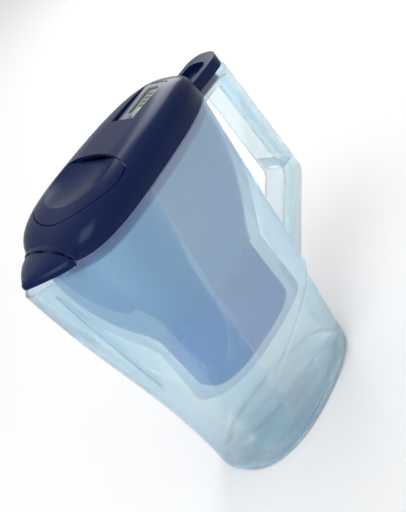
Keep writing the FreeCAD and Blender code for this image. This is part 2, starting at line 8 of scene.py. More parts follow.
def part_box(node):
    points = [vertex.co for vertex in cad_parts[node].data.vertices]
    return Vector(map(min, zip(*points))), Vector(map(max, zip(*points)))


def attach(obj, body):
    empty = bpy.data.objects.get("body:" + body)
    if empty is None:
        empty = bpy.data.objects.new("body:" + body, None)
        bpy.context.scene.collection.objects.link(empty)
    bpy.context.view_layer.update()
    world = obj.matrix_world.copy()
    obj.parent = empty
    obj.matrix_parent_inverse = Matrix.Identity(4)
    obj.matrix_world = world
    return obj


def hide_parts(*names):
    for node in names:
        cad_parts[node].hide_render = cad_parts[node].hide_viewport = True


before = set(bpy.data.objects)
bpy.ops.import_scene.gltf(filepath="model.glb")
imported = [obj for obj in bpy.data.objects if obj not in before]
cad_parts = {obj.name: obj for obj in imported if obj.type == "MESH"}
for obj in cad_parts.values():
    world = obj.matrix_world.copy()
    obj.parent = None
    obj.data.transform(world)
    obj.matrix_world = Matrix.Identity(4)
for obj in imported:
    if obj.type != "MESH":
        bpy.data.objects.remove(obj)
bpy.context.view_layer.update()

# Jug wall: the body of clear hard plastic, moulded in one shot with its floor and foot. It is oval at the
# base and squarer at the rim, and is drawn out into a pouring prow in front. Above a sloping style line the
# rear stands a little proud.
MM = 0.001
jug_height = 246.0
base_front = 78.0
base_rear = 77.5
base_half_width = 48.0
base_squareness = 2.4
base_taper = 0.15
rim_front = 77.0
rim_rear = 105.0
rim_half_width = 49.5
rim_squareness = 3.1
rim_taper = 0.21
jug_wall = 2.5
jug_floor = 3.5
prow_reach = 31.5
prow_half_width = 36.0
prow_start = 21.0
step_height = 64.0
step_slope = 0.16
step_proud = 4.0
step_fade_front = 36.0
step_band = 5.5
slope_fade = 0.75
outline_points = 160
sharp_angle = 38.0
grain_detail = 4.0
broad_scale_share = 0.04
broad_detail = 3.0


def mix(low, high, share):
    return low + (high - low) * share


def clamp(share):
    return min(max(share, 0.0), 1.0)


def ease(share):
    bounded = clamp(share)
    return bounded * bounded * (3 - 2 * bounded)


def unit_oval(angle, squareness):
    c = math.cos(angle)
    s = math.sin(angle)
    radius = (abs(c) ** squareness + abs(s) ** squareness) ** (-1.0 / squareness)
    return radius * c, radius * s


def prow_growth(z):
    share = clamp((z - prow_start) / (jug_height - prow_start))
    return (share + math.sin(share * math.pi / 2) ** 2) / 2


def body_point(angle, z, reach, proud):
    """A point of the jug's outside at a height, with a spout of some reach and a proud rear."""
    share = z / jug_height
    front = mix(base_front, rim_front, share)
    rear = mix(base_rear, rim_rear, share)
    along, across = unit_oval(angle, mix(base_squareness, rim_squareness, share))
    x = (rear - front) / 2 + (rear + front) / 2 * along
    taper = mix(base_taper, rim_taper, share)
    y = mix(base_half_width, rim_half_width, share) * across * (1 - taper * along)
    rise = proud * clamp((x + step_fade_front) / (rear + step_fade_front))
    y += rise * across / 2
    if along < 0 and abs(y) < prow_half_width:
        x -= reach * prow_growth(z) * (1 - (y / prow_half_width) ** 2) ** 2
    return Vector((x + rise * along, y, z))


def inset_ring(ring, inset):
    """The ring moved inwards, square to itself, by a distance."""
    moved = []
    for i, point in enumerate(ring):
        tangent = ring[(i + 1) % len(ring)] - ring[i - 1]
        outward = Vector((tangent.y, -tangent.x, 0)).normalized()
        moved.append(point - outward * inset)
    return moved


def lifted(ring, z):
    return [Vector((p.x, p.y, z)) for p in ring]


def jug_ring(height, inset):
    """The jug's outline at a level; the levels tilt with the style line and lie flat at base and rim."""
    above = (height - step_height) / (slope_fade * (jug_height - step_height))
    slope = step_slope * min(height / step_height, clamp(1 - above))
    proud = step_proud * ease((height - step_height + step_band / 2) / step_band)
    ring = []
    for i in range(outline_points):
        angle = 2 * math.pi * i / outline_points
        point = body_point(angle, height, prow_reach, proud)
        ring.append(body_point(angle, height + slope * point.x, prow_reach, proud))
    return inset_ring(ring, inset)


def skin(name, rings, capped=True):
    """A mesh over a run of closed rings, in millimetres; its two ends are capped, or else joined."""
    mesh = bmesh.new()
    rows = [[mesh.verts.new(p * MM) for p in ring] for ring in rings]
    if capped:
        mesh.faces.new(reversed(rows[0]))
        mesh.faces.new(rows[-1])
    else:
        rows.append(rows[0])
    for low, high in zip(rows, rows[1:]):
        for i in range(len(low)):
            j = (i + 1) % len(low)
            mesh.faces.new((low[i], low[j], high[j], high[i]))
    return finished(name, mesh)


def finished(name, mesh):
    """The object of a bmesh, smooth apart from its sharp edges."""
    bmesh.ops.recalc_face_normals(mesh, faces=mesh.faces)
    data = bpy.data.meshes.new(name)
    mesh.to_mesh(data)
    mesh.free()
    data.polygons.foreach_set("use_smooth", [True] * len(data.polygons))
    data.set_sharp_from_angle(angle=math.radians(sharp_angle))
    piece = bpy.data.objects.new(name, data)
    bpy.context.scene.collection.objects.link(piece)
    return piece


def new_material(name):
    """A new material and its main shader."""
    material = bpy.data.materials.new(name)
    material.use_nodes = True
    return material, material.node_tree.nodes["Principled BSDF"]


def add_grain(material, scale, bump, depth, rough_low, rough_high):
    """Moulded-surface grain: fine noise as bump, and broad noise as slight changes of roughness."""
    nodes = material.node_tree.nodes
    links = material.node_tree.links
    shader = nodes["Principled BSDF"]
    place = nodes.new("ShaderNodeTexCoord")
    fine = nodes.new("ShaderNodeTexNoise")
    fine.inputs["Scale"].default_value = scale
    fine.inputs["Detail"].default_value = grain_detail
    links.new(place.outputs["Object"], fine.inputs["Vector"])
    relief = nodes.new("ShaderNodeBump")
    relief.inputs["Strength"].default_value = bump
    relief.inputs["Distance"].default_value = depth
    links.new(fine.outputs["Fac"], relief.inputs["Height"])
    links.new(relief.outputs["Normal"], shader.inputs["Normal"])
    broad = nodes.new("ShaderNodeTexNoise")
    broad.inputs["Scale"].default_value = scale * broad_scale_share
    broad.inputs["Detail"].default_value = broad_detail
    links.new(place.outputs["Object"], broad.inputs["Vector"])
    spread = nodes.new("ShaderNodeMapRange")
    spread.inputs["To Min"].default_value = rough_low
    spread.inputs["To Max"].default_value = rough_high
    links.new(broad.outputs["Fac"], spread.inputs["Value"])
    links.new(spread.outputs["Result"], shader.inputs["Roughness"])


clear_plastic, clear_shader = new_material("clear_plastic")
clear_shader.inputs["Transmission Weight"].default_value = 1.0
clear_shader.inputs["IOR"].default_value = 1.5
clear_nodes = clear_plastic.node_tree.nodes
clear_links = clear_plastic.node_tree.links
clear_edge = clear_nodes.new("ShaderNodeLayerWeight")
clear_edge.inputs["Blend"].default_value = 0.35
clear_tint = clear_nodes.new("ShaderNodeValToRGB")
clear_tint.color_ramp.elements[0].position = 0.35
clear_tint.color_ramp.elements[0].color = (0.6, 0.87, 0.98, 1.0)
clear_tint.color_ramp.elements[1].position = 0.92
clear_tint.color_ramp.elements[1].color = (0.03, 0.22, 0.52, 1.0)
clear_links.new(clear_edge.outputs["Facing"], clear_tint.inputs["Fac"])
clear_links.new(clear_tint.outputs["Color"], clear_shader.inputs["Base Color"])
clear_body = clear_nodes.new("ShaderNodeMapRange")
clear_body.inputs["From Min"].default_value = 0.1
clear_body.inputs["From Max"].default_value = 0.8
clear_body.inputs["To Min"].default_value = 0.38
clear_body.inputs["To Max"].default_value = 1.0
clear_links.new(clear_edge.outputs["Facing"], clear_body.inputs["Value"])
clear_links.new(clear_body.outputs["Result"], clear_shader.inputs["Alpha"])
add_grain(clear_plastic, scale=60.0, bump=0.003, depth=0.0003, rough_low=0.0, rough_high=0.006)

fine_per_band = 6
fine_reach = 8
coarse_count = 48
fine_steps = [step_height + step_band * k / fine_per_band for k in range(-fine_reach, fine_reach + 1)]
coarse_steps = [jug_height * k / coarse_count for k in range(1, coarse_count + 1)]
wall_levels = sorted(fine_steps + [z for z in coarse_steps if z < fine_steps[0] or z > fine_steps[-1]])
foot_insets_and_heights = [(9.0, 1.4), (6.5, 0.2), (4.0, 0.0), (1.6, 0.7), (0.4, 2.2)]
foot_top = 4.0
lip_round = 0.5
lip_rise = 0.1
floor_turn = 8.0
floor_insets_and_rises = [(0.4, 5.0), (2.2, 1.6), (6.0, 0.0)]
wall_rings = [lifted(jug_ring(0.0, inset), z) for inset, z in foot_insets_and_heights]
wall_rings += [jug_ring(z, 0.0) for z in wall_levels if z > foot_top]
for inset in (lip_round, jug_wall - lip_round):
    wall_rings.append(lifted(jug_ring(jug_height, inset), jug_height + lip_rise))
wall_rings += [jug_ring(z, jug_wall) for z in reversed(wall_levels) if z > jug_floor + floor_turn]
for inset, rise in floor_insets_and_rises:
    wall_rings.append(lifted(jug_ring(jug_floor, jug_wall + inset), jug_floor + rise))
jug_piece = skin("jug_wall", wall_rings)
jug_piece.data.materials.append(clear_plastic)
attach(jug_piece, "jug_body")
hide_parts("jug")

# Handle: part of the same clear moulding, with an open C section behind the grip. A trough joins it to the
# rim at the top, and a slanting strut joins it to the wall below.
finger_gap = 22.0
grip_depth = 16.0
handle_half_width = 13.0
handle_wall = 2.6
trough_depth = 8.0
strut_foot = 76.0
strut_root_depth = 29.0
strut_bend = 128.0
strut_bend_rise = 10.0
handle_outer_radius = 12.0
handle_inner_radius = 10.0
handle_top_radius = 2.0
grip_top_radius = 3.0
trough_radius = 2.0
handle_edge = 0.6
root_share = 0.7
arc_steps = 10
bevel_angle = 40.0


def rear_wall(z):
    return mix(base_rear, rim_rear, z / jug_height) + step_proud


def rounded_outline(corners):
    """Points along straight sides with rounded corners; corners are (u, v, radius)."""
    points = []
    for i, (u, v, radius) in enumerate(corners):
        here = Vector((u, v))
        if radius == 0:
            points.append(here)
            continue
        back = (Vector(corners[i - 1][:2]) - here).normalized()
        ahead = (Vector(corners[(i + 1) % len(corners)][:2]) - here).normalized()
        half = back.angle(ahead) / 2
        centre = here + (back + ahead).normalized() * (radius / math.sin(half))
        start = here + back * (radius / math.tan(half)) - centre
        end = here + ahead * (radius / math.tan(half)) - centre
        sweep = start.angle_signed(end)
        for k in range(arc_steps + 1):
            turned = start.copy()
            turned.rotate(Matrix.Rotation(-sweep * k / arc_steps, 2))
            points.append(centre + turned)
    return points


def side_plate(name, corners, y0, y1):
    """A plate standing along X and Z, between two places along Y."""
    mesh = bmesh.new()
    outline = rounded_outline(corners)
    near = [mesh.verts.new(Vector((p.x, y0, p.y)) * MM) for p in outline]
    far = [mesh.verts.new(Vector((p.x, y1, p.y)) * MM) for p in outline]
    mesh.faces.new(near)
    mesh.faces.new(reversed(far))
    for i in range(len(near)):
        j = (i + 1) % len(near)
        mesh.faces.new((near[j], near[i], far[i], far[j]))
    return finished(name, mesh)


def merged(piece, other, way):
    """The piece with another one cut away or joined on."""
    tool = piece.modifiers.new("merge", "BOOLEAN")
    tool.object = other
    tool.operation = way
    tool.solver = "EXACT"
    depsgraph = bpy.context.evaluated_depsgraph_get()
    data = bpy.data.meshes.new_from_object(piece.evaluated_get(depsgraph))
    piece.modifiers.clear()
    piece.data = data
    bpy.data.objects.remove(other)


def soften(piece, width, steps=2):
    """Rounded edges on a piece."""
    bevel = piece.modifiers.new("edge", "BEVEL")
    bevel.width = width * MM
    bevel.segments = steps
    bevel.limit_method = "ANGLE"
    bevel.angle_limit = math.radians(bevel_angle)
    bevel.harden_normals = True


grip_inner = rim_rear + step_proud + finger_gap
grip_outer = grip_inner + grip_depth
strut_top = strut_foot + strut_root_depth
bend_top = strut_bend + strut_bend_rise
root = jug_wall * root_share
trough_low = jug_height - trough_depth - handle_wall
handle_slant = (strut_bend - strut_foot) / (grip_outer - rear_wall(strut_foot) + root)
handle = side_plate(
    "jug_handle",
    [
        (grip_outer, jug_height, handle_top_radius),
        (grip_outer, strut_bend, handle_outer_radius),
        (rear_wall(strut_foot) - root, strut_foot, 0),
        (rear_wall(strut_top) - root, strut_top, 0),
        (grip_inner, bend_top, handle_inner_radius),
        (grip_inner, trough_low, grip_top_radius),
        (rear_wall(trough_low) - root, trough_low, 0),
        (rear_wall(jug_height) - root, jug_height, 0),
    ],
    -handle_half_width,
    handle_half_width,
)
half_channel = handle_half_width - handle_wall
floor_lift = handle_wall * math.hypot(1, handle_slant)
channel_end = grip_outer - handle_wall
channel_bend = strut_bend + floor_lift - handle_slant * handle_wall
channel_root = rear_wall(strut_foot) - 2 * root
channel_front = grip_inner - finger_gap / 2
channel = side_plate(
    "channel",
    [
        (channel_end, trough_low, 0),
        (channel_end, channel_bend, handle_outer_radius - handle_wall),
        (channel_root, strut_foot + floor_lift, 0),
        (channel_root, strut_top + finger_gap, 0),
        (channel_front, bend_top + finger_gap, 0),
        (channel_front, trough_low, 0),
    ],
    -half_channel,
    half_channel,
)
merged(handle, channel, "DIFFERENCE")
trough = side_plate(
    "trough",
    [
        (rear_wall(trough_low) - 2 * root, jug_height - trough_depth, 0),
        (channel_end, jug_height - trough_depth, trough_radius),
        (channel_end, jug_height + handle_wall, 0),
        (rear_wall(trough_low) - 2 * root, jug_height + handle_wall, 0),
    ],
    -half_channel,
    half_channel,
)
merged(handle, trough, "DIFFERENCE")
soften(handle, handle_edge)
handle.data.materials.clear()
handle.data.materials.append(clear_plastic)
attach(handle, "jug_body")
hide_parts("jug")

# Ribs: thin fins of the clear moulding. Two run down the inside of the pouring channel and two down the
# inside of the grip's web, and a scooped stop closes the foot of the grip's channel.
rib_wall = 1.4
channel_rib_place = 13.0
channel_rib_low = 118.0
channel_rib_high = 236.0
channel_rib_depth = 3.6
grip_rib_place = 4.2
grip_rib_depth = 3.2
grip_rib_high = 233.0
grip_rib_low = 146.0
channel_rib_steps = 12
channel_rib_sink = 0.4
grip_sink = 0.3
grip_rib_foot_radius = 2.0
grip_rib_top_radius = 1.0
rib_edge = 0.3
halvings = 40


def prow_inside(z, y):
    """Where the inside of the prow lies along X, at a height and a place across it, found by halving."""
    low = -math.pi
    high = -math.pi / 2
    for _ in range(halvings):
        angle = (low + high) / 2
        if -body_point(angle, z, prow_reach, step_proud).y < abs(y):
            low = angle
        else:
            high = angle
    return body_point(low, z, prow_reach, step_proud).x + jug_wall


def channel_rib(name, y):
    """A fin that follows the slope of the prow's inside wall."""
    rings = []
    for k in range(channel_rib_steps + 1):
        z = mix(channel_rib_low, channel_rib_high, k / channel_rib_steps)
        near_end = min(z - channel_rib_low, channel_rib_high - z)
        depth = channel_rib_depth * ease(near_end / (3 * channel_rib_depth)) + rib_wall / 4
        wall = prow_inside(z, y) - channel_rib_sink
        ring = [
            Vector((wall, y - rib_wall / 2, z)),
            Vector((wall + depth, y - rib_wall / 3, z)),
            Vector((wall + depth + rib_wall / 4, y, z)),
            Vector((wall + depth, y + rib_wall / 3, z)),
            Vector((wall, y + rib_wall / 2, z)),
        ]
        rings.append(ring)
    return skin(name, rings)


ribs = [
    channel_rib("channel_rib_near", -channel_rib_place),
    channel_rib("channel_rib_far", channel_rib_place),
]
for name, y in (("grip_rib_near", -grip_rib_place), ("grip_rib_far", grip_rib_place)):
    rib = side_plate(
        name,
        [
            (channel_end + grip_sink, grip_rib_low, 0),
            (channel_end - grip_rib_depth, grip_rib_low + 2 * grip_rib_depth, grip_rib_foot_radius),
            (channel_end - grip_rib_depth, grip_rib_high, grip_rib_top_radius),
            (channel_end + grip_sink, grip_rib_high, 0),
        ],
        y - rib_wall / 2,
        y + rib_wall / 2,
    )
    soften(rib, rib_edge)
    ribs.append(rib)
scoop_rise = 11.0
scoop_floor = grip_rib_low - 3.0
scoop_back_radius = 1.0
scoop_bowl = 5.0
scoop_bowl_radius = 4.0
scoop_lip_radius = 0.5
scoop_inner = grip_inner + 1.2
scoop_front = grip_inner - 0.6
scoop_edge = 0.4
scoop = side_plate(
    "grip_stop",
    [
        (scoop_inner, scoop_floor - handle_wall, 0),
        (channel_end + grip_sink, scoop_floor - handle_wall, 0),
        (channel_end + grip_sink, scoop_floor, scoop_back_radius),
        (grip_inner + scoop_bowl, scoop_floor, scoop_bowl_radius),
        (scoop_inner, scoop_floor + scoop_rise, scoop_lip_radius),
        (scoop_front, scoop_floor + scoop_rise, scoop_lip_radius),
    ],
    -half_channel - grip_sink,
    half_channel + grip_sink,
)
soften(scoop, scoop_edge)
ribs.append(scoop)
for rib in ribs:
    rib.data.materials.append(clear_plastic)
    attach(rib, "jug_body")

# Funnel: a frosted plastic moulding that hangs on the jug's rim by its flange. Its hopper follows the wall,
# then draws in over a rounded shoulder to the oval well that holds the cartridge. Its rim band is darker:
# painted shade under the lid's edge.
side_gap = 0.4
seat_gap = 0.2
funnel_wall = 1.8
funnel_bulge = 8.0
flange_thickness = 1.8
flange_setback = 0.5
hopper_turn = 225.0
hopper_floor = 137.0
hopper_close = 0.93
well_bottom = 73.0
well_centre = 5.0
well_half_length = 56.0
well_half_width = 31.5
well_squareness = 2.6
well_draft = 1.5
flange_low = jug_height + seat_gap
flange_top = flange_low + flange_thickness


def mouth_ring(z, inset):
    ring = []
    for i in range(outline_points):
        ring.append(body_point(2 * math.pi * i / outline_points, z, funnel_bulge, step_proud))
    return inset_ring(ring, inset)


def well_ring(z, inset):
    shrink = well_draft * (hopper_floor - z) / (hopper_floor - well_bottom) + inset
    ring = []
    for i in range(outline_points):
        along, across = unit_oval(2 * math.pi * i / outline_points, well_squareness)
        x = well_centre + (well_half_length - shrink) * along
        ring.append(Vector((x, (well_half_width - shrink) * across, z)))
    return ring


def hopper_ring(z, inset):
    drawn = hopper_close * clamp((hopper_turn - z) / (hopper_turn - hopper_floor)) ** 2
    wall = mouth_ring(z, jug_wall + side_gap + inset)
    return [a.lerp(b, drawn) for a, b in zip(wall, well_ring(z, inset))]


frosted_plastic, frosted_shader = new_material("frosted_plastic")
frosted_shader.inputs["Transmission Weight"].default_value = 0.25
frosted_shader.inputs["IOR"].default_value = 1.4
frosted_shader.inputs["Alpha"].default_value = 0.8
add_grain(frosted_plastic, scale=900.0, bump=0.08, depth=0.0004, rough_low=0.3, rough_high=0.4)
frosted_nodes = frosted_plastic.node_tree.nodes
frosted_links = frosted_plastic.node_tree.links
frosted_place = frosted_nodes.new("ShaderNodeTexCoord")
frosted_height = frosted_nodes.new("ShaderNodeSeparateXYZ")
frosted_links.new(frosted_place.outputs["Object"], frosted_height.inputs["Vector"])
height_share = frosted_nodes.new("ShaderNodeMapRange")
height_share.inputs["From Min"].default_value = well_bottom * MM
height_share.inputs["From Max"].default_value = flange_top * MM
frosted_links.new(frosted_height.outputs["Z"], height_share.inputs["Value"])
frosted_tint_and_lid_shade = frosted_nodes.new("ShaderNodeValToRGB")
# From this height up, the funnel's colour is painted dark blue-violet: painted shade under the lid's edge.
lid_shade_low = jug_height - 7.5
lid_shade_share = (lid_shade_low - well_bottom) / (flange_top - well_bottom)
lid_shade_blend = 0.005
floor_share = (hopper_floor - well_bottom) / (flange_top - well_bottom)
floor_blend = 0.02
tints_and_lid_shade = [
    (0.0, (0.42, 0.61, 0.97, 1.0)),
    (floor_share - floor_blend, (0.46, 0.65, 0.98, 1.0)),
    (floor_share + floor_blend, (0.54, 0.75, 1.0, 1.0)),
    (lid_shade_share - lid_shade_blend, (0.58, 0.79, 1.0, 1.0)),
    # painted shade under the lid's edge, from the rim band's height up
    (lid_shade_share + lid_shade_blend, (0.26, 0.34, 0.6, 1.0)),
]
tint_and_shade_stops = frosted_tint_and_lid_shade.color_ramp.elements
tint_and_shade_stops.remove(tint_and_shade_stops[1])
tint_and_shade_stops[0].position, tint_and_shade_stops[0].color = tints_and_lid_shade[0]
for place, tint in tints_and_lid_shade[1:]:
    tint_and_shade_stops.new(place).color = tint
frosted_links.new(height_share.outputs["Result"], frosted_tint_and_lid_shade.inputs["Fac"])
frosted_edge = frosted_nodes.new("ShaderNodeLayerWeight")
frosted_edge.inputs["Blend"].default_value = 0.3
frosted_depth = frosted_nodes.new("ShaderNodeMixRGB")
frosted_depth.blend_type = "MULTIPLY"
frosted_depth.inputs["Color2"].default_value = (0.55, 0.66, 0.86, 1.0)
frosted_links.new(frosted_edge.outputs["Facing"], frosted_depth.inputs["Fac"])
frosted_links.new(frosted_tint_and_lid_shade.outputs["Color"], frosted_depth.inputs["Color1"])
frosted_links.new(frosted_depth.outputs["Color"], frosted_shader.inputs["Base Color"])

hopper_steps = 30
hopper_top = flange_low - 1.0
well_steps = 12
flange_edge = 0.4
ledge_proud = 1.3
ledge_half_height = 0.8
ledge_blend = 1.4
well_edge_top = 2.0
well_edge_mid = 0.6
well_edge_insets = (0.3, 1.4, 3.5)
well_inner_edge = 3.0
outlet_inset = 24.0
hopper_levels = [mix(hopper_top, hopper_floor, k / hopper_steps) for k in range(hopper_steps + 1)]
well_levels = [mix(hopper_floor, well_bottom, k / well_steps) for k in range(1, well_steps)]
well_floor = well_bottom + funnel_wall
funnel_rings = [
    lifted(hopper_ring(flange_top, funnel_wall), flange_top),
    lifted(mouth_ring(jug_height, flange_setback + flange_edge), flange_top),
    lifted(mouth_ring(jug_height, flange_setback), flange_top - flange_edge),
    lifted(mouth_ring(jug_height, flange_setback), flange_low),
]
funnel_rings += [hopper_ring(z, 0.0) for z in hopper_levels[:-1]]
funnel_rings += [
    hopper_ring(hopper_floor + ledge_blend, 0.0),
    lifted(hopper_ring(hopper_floor, -ledge_proud), hopper_floor + ledge_half_height),
    lifted(hopper_ring(hopper_floor, -ledge_proud), hopper_floor - ledge_half_height),
    well_ring(hopper_floor - ledge_blend, 0.0),
]
funnel_rings += [well_ring(z, 0.0) for z in well_levels]
funnel_rings += [
    well_ring(well_bottom + well_edge_top, well_edge_insets[0]),
    lifted(well_ring(well_bottom, well_edge_insets[1]), well_bottom + well_edge_mid),
    well_ring(well_bottom, well_edge_insets[2]),
    well_ring(well_bottom, outlet_inset),
    lifted(well_ring(well_bottom, outlet_inset), well_floor),
    lifted(well_ring(well_bottom, funnel_wall + well_inner_edge), well_floor),
]
funnel_rings += [well_ring(z, funnel_wall) for z in reversed(well_levels)]
funnel_rings += [lifted(hopper_ring(z, funnel_wall), z + funnel_wall / 2) for z in reversed(hopper_levels)]
funnel = skin("funnel_shell", funnel_rings, capped=False)
funnel.data.materials.append(frosted_plastic)
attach(funnel, "funnel_body")
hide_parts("funnel")

# Cartridge: the cup and the domed cap with its pull loop, moulded in white plastic and joined around the
# granules. It drops into the funnel's well from above.
cartridge_plastic, cartridge_shader = new_material("cartridge_plastic")
cartridge_shader.inputs["Base Color"].default_value = (0.72, 0.77, 0.84, 1.0)
add_grain(cartridge_plastic, scale=1200.0, bump=0.05, depth=0.0002, rough_low=0.4, rough_high=0.5)


def dress(node, material):
    """Gives a node of the frame one material."""
    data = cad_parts[node].data
    data.materials.clear()
    data.materials.append(material)


dress("cartridge_housing", cartridge_plastic)
dress("cartridge_cap", cartridge_plastic)

# Seals: soft black rubber mouldings. A ring lies round the cartridge, a gasket closes the timer's housing,
# and a dome under the timer's button lifts it again.
seal_rubber, seal_shader = new_material("seal_rubber")
seal_shader.inputs["Base Color"].default_value = (0.05, 0.055, 0.06, 1.0)
add_grain(seal_rubber, scale=1800.0, bump=0.15, depth=0.0003, rough_low=0.55, rough_high=0.7)
for node in ("cartridge_seal", "indicator_gasket", "button_dome"):
    dress(node, seal_rubber)

# Filter granules: dark carbon grains, packed loose in the cartridge's cup. Each has its own tone and its
# own small bulge at the surface.
granules, granule_shader = new_material("granules")
granule_nodes = granules.node_tree.nodes
granule_links = granules.node_tree.links
grain_cells = granule_nodes.new("ShaderNodeTexVoronoi")
grain_cells.inputs["Scale"].default_value = 900.0
grain_place = granule_nodes.new("ShaderNodeTexCoord")
granule_links.new(grain_place.outputs["Object"], grain_cells.inputs["Vector"])
grain_tone = granule_nodes.new("ShaderNodeValToRGB")
grain_tone.color_ramp.elements[0].color = (0.012, 0.012, 0.013, 1.0)
grain_tone.color_ramp.elements[1].color = (0.09, 0.085, 0.08, 1.0)
granule_links.new(grain_cells.outputs["Color"], grain_tone.inputs["Fac"])
granule_links.new(grain_tone.outputs["Color"], granule_shader.inputs["Base Color"])
grain_relief = granule_nodes.new("ShaderNodeBump")
grain_relief.inputs["Strength"].default_value = 0.7
grain_relief.inputs["Distance"].default_value = 0.0008
granule_links.new(grain_cells.outputs["Distance"], grain_relief.inputs["Height"])
granule_links.new(grain_relief.outputs["Normal"], granule_shader.inputs["Normal"])
granule_shader.inputs["Roughness"].default_value = 0.8
dress("filter_media", granules)

# Screens: fine mesh woven from pale plastic thread, cut to the cup's outline. One lies over the granules
# and one under them, to hold them in.
screen_mesh, screen_shader = new_material("screen_mesh")
screen_nodes = screen_mesh.node_tree.nodes
screen_links = screen_mesh.node_tree.links
screen_place = screen_nodes.new("ShaderNodeTexCoord")
thread_scale = 260.0
threads = []
for axis in ("X", "Y"):
    thread = screen_nodes.new("ShaderNodeTexWave")
    thread.bands_direction = axis
    thread.inputs["Scale"].default_value = thread_scale
    screen_links.new(screen_place.outputs["Object"], thread.inputs["Vector"])
    threads.append(thread)
weave = screen_nodes.new("ShaderNodeMath")
weave.operation = "MAXIMUM"
for k, thread in enumerate(threads):
    screen_links.new(thread.outputs["Fac"], weave.inputs[k])
weave_tone = screen_nodes.new("ShaderNodeValToRGB")
weave_tone.color_ramp.elements[0].color = (0.25, 0.27, 0.3, 1.0)
weave_tone.color_ramp.elements[1].color = (0.78, 0.8, 0.83, 1.0)
screen_links.new(weave.outputs["Value"], weave_tone.inputs["Fac"])
screen_links.new(weave_tone.outputs["Color"], screen_shader.inputs["Base Color"])
weave_relief = screen_nodes.new("ShaderNodeBump")
weave_relief.inputs["Distance"].default_value = 0.0003
screen_links.new(weave.outputs["Value"], weave_relief.inputs["Height"])
screen_links.new(weave_relief.outputs["Normal"], screen_shader.inputs["Normal"])
screen_shader.inputs["Roughness"].default_value = 0.55
for node in ("top_screen", "bottom_screen"):
    dress(node, screen_mesh)

# Lid, refill flap and spout flap: mouldings of dark blue plastic with a satin gloss, used as the frame has
# them. The lid sits on the funnel's flange, and both flaps turn on pins in it.
lid_plastic, lid_shader = new_material("lid_plastic")
lid_shader.inputs["Base Color"].default_value = (0.004, 0.012, 0.056, 1.0)
lid_shader.inputs["Specular IOR Level"].default_value = 0.14
lid_shader.inputs["Specular Tint"].default_value = (0.74, 0.83, 1.0, 1.0)
add_grain(lid_plastic, scale=1400.0, bump=0.03, depth=0.0002, rough_low=0.2, rough_high=0.28)
for node in ("lid_shell", "refill_flap", "spout_flap"):
    dress(node, lid_plastic)

# Brow: the lid's front lip, a thin part of the same dark blue moulding. It reaches forward over the rear of
# the spout flap and hides the room that the flap needs to swing.
beak_half_width = 33.0
beak_height = 12.9
beak_arch = 2.3
beak_rear = -77.5
beak_low = flange_top - 0.4
brow_gap = 0.45
brow_wall = 1.2
brow_front = beak_rear + 1.1
brow_rear = beak_rear + 6.5
brow_inner_round = 0.2
brow_outer_round = 0.5
brow_nose = (0.3, 0.7)
brow_foot = 0.16
brow_steps = 60


def hood_arch(angle, grow, x):
    """A point of the spout flap's rear arch, grown outwards, at a place along X."""
    c = math.cos(angle)
    s = math.sin(angle)
    y = (beak_half_width + grow) * math.copysign(abs(c) ** (2 / beak_arch), c)
    return Vector((x, y, beak_low + (beak_height + grow) * s ** (2 / beak_arch)))


brow_section = [
    (brow_gap, brow_rear),
    (brow_gap, brow_front + brow_inner_round),
    (brow_gap + brow_wall * brow_nose[0], brow_front),
    (brow_gap + brow_wall * brow_nose[1], brow_front),
    (brow_gap + brow_wall, brow_front + brow_outer_round),
    (brow_gap + brow_wall, brow_rear),
]
brow_rings = []
for k in range(brow_steps + 1):
    angle = mix(brow_foot, math.pi - brow_foot, k / brow_steps)
    brow_rings.append([hood_arch(angle, grow, x) for grow, x in brow_section])
brow = skin("lid_brow", brow_rings)
brow.data.materials.append(lid_plastic)
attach(brow, "lid_body")

# Timer's bezel and housing: mouldings of satin grey plastic. The bezel has rounded corners and clips over
# window and display, with one opening for the window and one for the button. The housing is the tub below.
bezel_plastic, bezel_shader = new_material("bezel_plastic")
bezel_shader.inputs["Base Color"].default_value = (0.27, 0.3, 0.34, 1.0)
bezel_shader.inputs["Metallic"].default_value = 0.35
add_grain(bezel_plastic, scale=1600.0, bump=0.05, depth=0.0002, rough_low=0.3, rough_high=0.4)
dress("indicator_housing", bezel_plastic)
bezel_corner = 4.0
bezel_edge = 0.45
bezel_edge_steps = 3
cut_margin = 1.0
view_front = 58.5
view_rear = 88.5
view_half_width = 7.5
view_corner = 1.6
button_place = 53.0
button_radius = 3.2
button_play = 0.15
round_points = 48


def plate_outline(x0, y0, x1, y1, radius):
    """A rounded rectangle in X and Y."""
    return rounded_outline([(x0, y0, radius), (x1, y0, radius), (x1, y1, radius), (x0, y1, radius)])


def circle_outline(x, y, radius):
    """A circle in X and Y."""
    points = []
    for k in range(round_points):
        angle = 2 * math.pi * k / round_points
        points.append(Vector((x + radius * math.cos(angle), y + radius * math.sin(angle))))
    return points


def flat_plate(name, outline, low, high):
    """A flat plate with an outline in X and Y, between two heights."""
    return skin(name, [lifted(outline, low), lifted(outline, high)])


bezel_low, bezel_high = [Vector(corner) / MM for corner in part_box("indicator_bezel")]
bezel = flat_plate(
    "timer_bezel",
    plate_outline(bezel_low.x, bezel_low.y, bezel_high.x, bezel_high.y, bezel_corner),
    bezel_low.z,
    bezel_high.z,
)
view_outline = plate_outline(view_front, -view_half_width, view_rear, view_half_width, view_corner)
button_outline = circle_outline(button_place, 0.0, button_radius + button_play)
for outline in (view_outline, button_outline):
    cutter = flat_plate("opening", outline, bezel_low.z - cut_margin, bezel_high.z + cut_margin)
    merged(bezel, cutter, "DIFFERENCE")
soften(bezel, bezel_edge, bezel_edge_steps)
bezel.data.materials.clear()
bezel.data.materials.append(bezel_plastic)
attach(bezel, "lid_body")
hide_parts("indicator_bezel")

